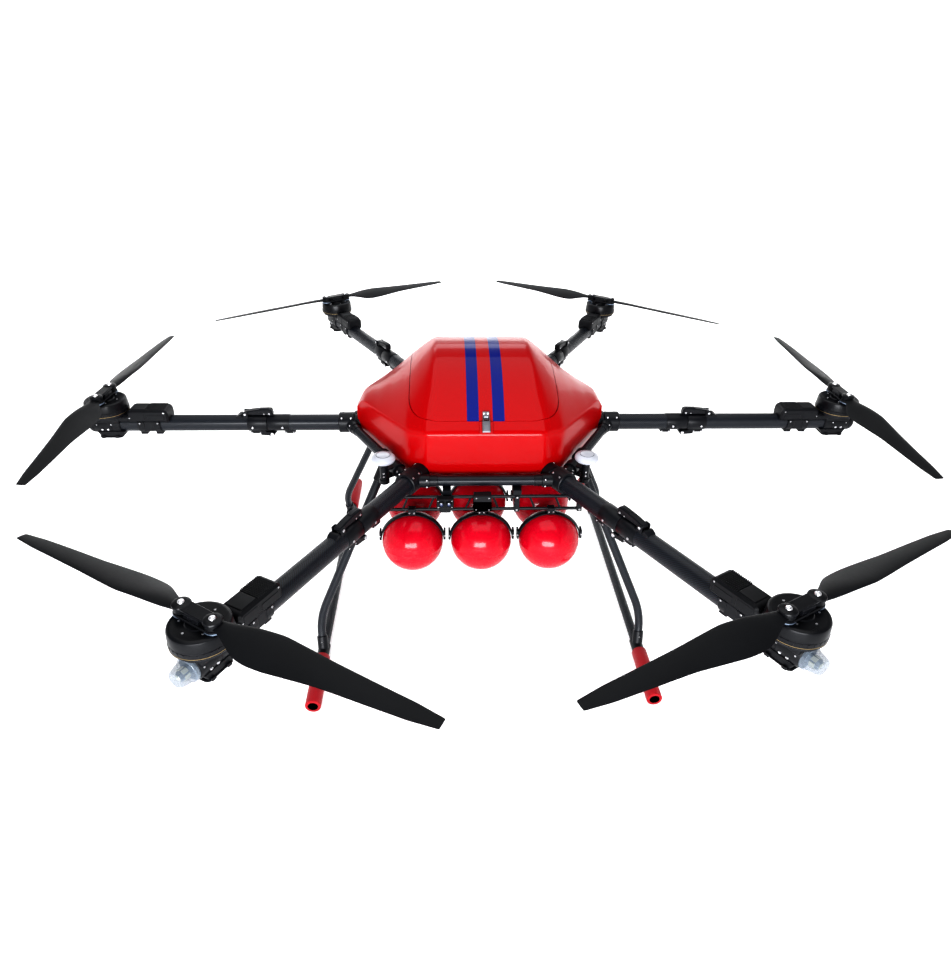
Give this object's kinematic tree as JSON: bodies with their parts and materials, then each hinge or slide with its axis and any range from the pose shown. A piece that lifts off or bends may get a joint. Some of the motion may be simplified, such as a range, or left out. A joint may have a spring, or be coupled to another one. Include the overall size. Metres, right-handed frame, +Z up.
{
  "type": "hexacopter drone",
  "caption": "Folding multirotor drone with a glossy hood, tube arms, folding propellers, skid landing gear and a rack of round payloads under the nose.",
  "frame": {"origin": "on the ground under the centre of the hexagonal frame, where the six arm axes meet", "axes": "+X to the drone's left-hand arm as seen from its nose, +Y towards the tail, so the nose faces -Y, +Z up"},
  "size_m": [2.114, 2.222, 0.7675],
  "materials": {
    "carbon": "woven carbon fibre under satin clear resin",
    "black_plastic": "fine-grained moulded black plastic",
    "anodised_black": "black anodised, satin",
    "motor_black": "black anodised, turned",
    "blade_grey": "satin carbon composite",
    "hood_red": "high-gloss red lacquer over glass fibre, with two blue stripes",
    "ball_red": "glossy red film",
    "steel": "bright stainless",
    "antenna_white": "smooth white",
    "battery_blue": "shrink-wrapped"
  },
  "bodies": {
    "airframe": {"ring_frame": "carbon", "centre_deck": "carbon", "battery_pack": "battery_blue", "hood_shell": "hood_red", "landing_gear_right": "carbon", "landing_gear_left": "carbon", "payload_rack": "anodised_black", "front_sensor": "black_plastic", "antenna_right": "antenna_white", "antenna_left": "antenna_white", "arm_root_right": "carbon", "arm_root_back_right": "carbon", "arm_root_back_left": "carbon", "arm_root_left": "carbon", "arm_root_front_left": "carbon", "arm_root_front_right": "carbon"},
    "lid": {"hood_lid": "hood_red"},
    "latch": {"lid_latch": "steel"},
    "ball_front_left": {"ball_front_left": "ball_red"},
    "ball_front_middle": {"ball_front_middle": "ball_red"},
    "ball_front_right": {"ball_front_right": "ball_red"},
    "ball_rear_left": {"ball_rear_left": "ball_red"},
    "ball_rear_middle": {"ball_rear_middle": "ball_red"},
    "ball_rear_right": {"ball_rear_right": "ball_red"},
    "arm_right": {"arm_outer_right": "carbon", "motor_pod_right": "black_plastic"},
    "lever_right": {"fold_lever_right": "anodised_black"},
    "spinner_right": {"rotor_right": "motor_black"},
    "blade_a_right": {"blade_a_right": "blade_grey"},
    "blade_b_right": {"blade_b_right": "blade_grey"},
    "arm_back_right": {"arm_outer_back_right": "carbon", "motor_pod_back_right": "black_plastic"},
    "lever_back_right": {"fold_lever_back_right": "anodised_black"},
    "spinner_back_right": {"rotor_back_right": "motor_black"},
    "blade_a_back_right": {"blade_a_back_right": "blade_grey"},
    "blade_b_back_right": {"blade_b_back_right": "blade_grey"},
    "arm_back_left": {"arm_outer_back_left": "carbon", "motor_pod_back_left": "black_plastic"},
    "lever_back_left": {"fold_lever_back_left": "anodised_black"},
    "spinner_back_left": {"rotor_back_left": "motor_black"},
    "blade_a_back_left": {"blade_a_back_left": "blade_grey"},
    "blade_b_back_left": {"blade_b_back_left": "blade_grey"},
    "arm_left": {"arm_outer_left": "carbon", "motor_pod_left": "black_plastic"},
    "lever_left": {"fold_lever_left": "anodised_black"},
    "spinner_left": {"rotor_left": "motor_black"},
    "blade_a_left": {"blade_a_left": "blade_grey"},
    "blade_b_left": {"blade_b_left": "blade_grey"},
    "arm_front_left": {"arm_outer_front_left": "carbon", "motor_pod_front_left": "black_plastic"},
    "lever_front_left": {"fold_lever_front_left": "anodised_black"},
    "spinner_front_left": {"rotor_front_left": "motor_black"},
    "blade_a_front_left": {"blade_a_front_left": "blade_grey"},
    "blade_b_front_left": {"blade_b_front_left": "blade_grey"},
    "arm_front_right": {"arm_outer_front_right": "carbon", "motor_pod_front_right": "black_plastic"},
    "lever_front_right": {"fold_lever_front_right": "anodised_black"},
    "spinner_front_right": {"rotor_front_right": "motor_black"},
    "blade_a_front_right": {"blade_a_front_right": "blade_grey"},
    "blade_b_front_right": {"blade_b_front_right": "blade_grey"}
  },
  "joints": [
    {"name": "lid_hinge", "type": "hinge", "parent": "airframe", "child": "lid", "pos_m": [0, 0.262, 0.668], "axis": [-1, 0, 0], "range_deg": [0, 95]},
    {"name": "latch_hinge", "type": "hinge", "parent": "airframe", "child": "latch", "pos_m": [0, -0.279, 0.6495], "axis": [1, 0, 0], "range_deg": [0, 120]},
    {"name": "drop_front_left", "type": "slide", "parent": "airframe", "child": "ball_front_left", "axis": [0, 0, -1], "range_m": [0, 0.1]},
    {"name": "drop_front_middle", "type": "slide", "parent": "airframe", "child": "ball_front_middle", "axis": [0, 0, -1], "range_m": [0, 0.1]},
    {"name": "drop_front_right", "type": "slide", "parent": "airframe", "child": "ball_front_right", "axis": [0, 0, -1], "range_m": [0, 0.1]},
    {"name": "drop_rear_left", "type": "slide", "parent": "airframe", "child": "ball_rear_left", "axis": [0, 0, -1], "range_m": [0, 0.1]},
    {"name": "drop_rear_middle", "type": "slide", "parent": "airframe", "child": "ball_rear_middle", "axis": [0, 0, -1], "range_m": [0, 0.1]},
    {"name": "drop_rear_right", "type": "slide", "parent": "airframe", "child": "ball_rear_right", "axis": [0, 0, -1], "range_m": [0, 0.1]},
    {"name": "fold_right", "type": "hinge", "parent": "airframe", "child": "arm_right", "pos_m": [0.569, 0, 0.512], "axis": [0, 1, 0], "range_deg": [0, 88]},
    {"name": "lock_right", "type": "hinge", "parent": "arm_right", "child": "lever_right", "pos_m": [0.636, 0, 0.57], "axis": [0, 1, 0], "range_deg": [0, 110]},
    {"name": "spin_right", "type": "hinge", "parent": "arm_right", "child": "spinner_right", "pos_m": [1, 0, 0.6], "axis": [0, 0, 1], "continuous": true},
    {"name": "blade_a_fold_right", "type": "hinge", "parent": "spinner_right", "child": "blade_a_right", "pos_m": [1.00148, -0.03697, 0.6255], "axis": [0, 0, -1], "range_deg": [-10, 72]},
    {"name": "blade_b_fold_right", "type": "hinge", "parent": "spinner_right", "child": "blade_b_right", "pos_m": [0.99852, 0.03697, 0.6255], "axis": [0, 0, 1], "range_deg": [-10, 72]},
    {"name": "fold_back_right", "type": "hinge", "parent": "airframe", "child": "arm_back_right", "pos_m": [0.2845, 0.49277, 0.512], "axis": [-0.866, 0.5, 0], "range_deg": [0, 88]},
    {"name": "lock_back_right", "type": "hinge", "parent": "arm_back_right", "child": "lever_back_right", "pos_m": [0.318, 0.55079, 0.57], "axis": [-0.866, 0.5, 0], "range_deg": [0, 110]},
    {"name": "spin_back_right", "type": "hinge", "parent": "arm_back_right", "child": "spinner_back_right", "pos_m": [0.5, 0.86603, 0.6], "axis": [0, 0, 1], "continuous": true},
    {"name": "blade_a_fold_back_right", "type": "hinge", "parent": "spinner_back_right", "child": "blade_a_back_right", "pos_m": [0.46965, 0.88719, 0.6255], "axis": [0, 0, 1], "range_deg": [-10, 72]},
    {"name": "blade_b_fold_back_right", "type": "hinge", "parent": "spinner_back_right", "child": "blade_b_back_right", "pos_m": [0.53035, 0.84486, 0.6255], "axis": [0, 0, -1], "range_deg": [-10, 72]},
    {"name": "fold_back_left", "type": "hinge", "parent": "airframe", "child": "arm_back_left", "pos_m": [-0.2845, 0.49277, 0.512], "axis": [-0.866, -0.5, 0], "range_deg": [0, 88]},
    {"name": "lock_back_left", "type": "hinge", "parent": "arm_back_left", "child": "lever_back_left", "pos_m": [-0.318, 0.55079, 0.57], "axis": [-0.866, -0.5, 0], "range_deg": [0, 110]},
    {"name": "spin_back_left", "type": "hinge", "parent": "arm_back_left", "child": "spinner_back_left", "pos_m": [-0.5, 0.86603, 0.6], "axis": [0, 0, 1], "continuous": true},
    {"name": "blade_a_fold_back_left", "type": "hinge", "parent": "spinner_back_left", "child": "blade_a_back_left", "pos_m": [-0.46893, 0.88612, 0.6255], "axis": [0, 0, -1], "range_deg": [-10, 72]},
    {"name": "blade_b_fold_back_left", "type": "hinge", "parent": "spinner_back_left", "child": "blade_b_back_left", "pos_m": [-0.53107, 0.84593, 0.6255], "axis": [0, 0, 1], "range_deg": [-10, 72]},
    {"name": "fold_left", "type": "hinge", "parent": "airframe", "child": "arm_left", "pos_m": [-0.569, 0, 0.512], "axis": [0, -1, 0], "range_deg": [0, 88]},
    {"name": "lock_left", "type": "hinge", "parent": "arm_left", "child": "lever_left", "pos_m": [-0.636, 0, 0.57], "axis": [0, -1, 0], "range_deg": [0, 110]},
    {"name": "spin_left", "type": "hinge", "parent": "arm_left", "child": "spinner_left", "pos_m": [-1, 0, 0.6], "axis": [0, 0, 1], "continuous": true},
    {"name": "blade_a_fold_left", "type": "hinge", "parent": "spinner_left", "child": "blade_a_left", "pos_m": [-1.00284, -0.03689, 0.6255], "axis": [0, 0, 1], "range_deg": [-10, 72]},
    {"name": "blade_b_fold_left", "type": "hinge", "parent": "spinner_left", "child": "blade_b_left", "pos_m": [-0.99716, 0.03689, 0.6255], "axis": [0, 0, -1], "range_deg": [-10, 72]},
    {"name": "fold_front_left", "type": "hinge", "parent": "airframe", "child": "arm_front_left", "pos_m": [-0.2845, -0.49277, 0.512], "axis": [0.866, -0.5, 0], "range_deg": [0, 88]},
    {"name": "lock_front_left", "type": "hinge", "parent": "arm_front_left", "child": "lever_front_left", "pos_m": [-0.318, -0.55079, 0.57], "axis": [0.866, -0.5, 0], "range_deg": [0, 110]},
    {"name": "spin_front_left", "type": "hinge", "parent": "arm_front_left", "child": "spinner_front_left", "pos_m": [-0.5, -0.86603, 0.6], "axis": [0, 0, 1], "continuous": true},
    {"name": "blade_a_fold_front_left", "type": "hinge", "parent": "spinner_front_left", "child": "blade_a_front_left", "pos_m": [-0.53085, -0.8456, 0.6255], "axis": [0, 0, -1], "range_deg": [-10, 72]},
    {"name": "blade_b_fold_front_left", "type": "hinge", "parent": "spinner_front_left", "child": "blade_b_front_left", "pos_m": [-0.46915, -0.88645, 0.6255], "axis": [0, 0, 1], "range_deg": [-10, 72]},
    {"name": "fold_front_right", "type": "hinge", "parent": "airframe", "child": "arm_front_right", "pos_m": [0.2845, -0.49277, 0.512], "axis": [0.866, 0.5, 0], "range_deg": [0, 88]},
    {"name": "lock_front_right", "type": "hinge", "parent": "arm_front_right", "child": "lever_front_right", "pos_m": [0.318, -0.55079, 0.57], "axis": [0.866, 0.5, 0], "range_deg": [0, 110]},
    {"name": "spin_front_right", "type": "hinge", "parent": "arm_front_right", "child": "spinner_front_right", "pos_m": [0.5, -0.86603, 0.6], "axis": [0, 0, 1], "continuous": true},
    {"name": "blade_a_fold_front_right", "type": "hinge", "parent": "spinner_front_right", "child": "blade_a_front_right", "pos_m": [0.46727, -0.88328, 0.6255], "axis": [0, 0, -1], "range_deg": [-10, 72]},
    {"name": "blade_b_fold_front_right", "type": "hinge", "parent": "spinner_front_right", "child": "blade_b_front_right", "pos_m": [0.53273, -0.84877, 0.6255], "axis": [0, 0, 1], "range_deg": [-10, 72]}
  ]
}
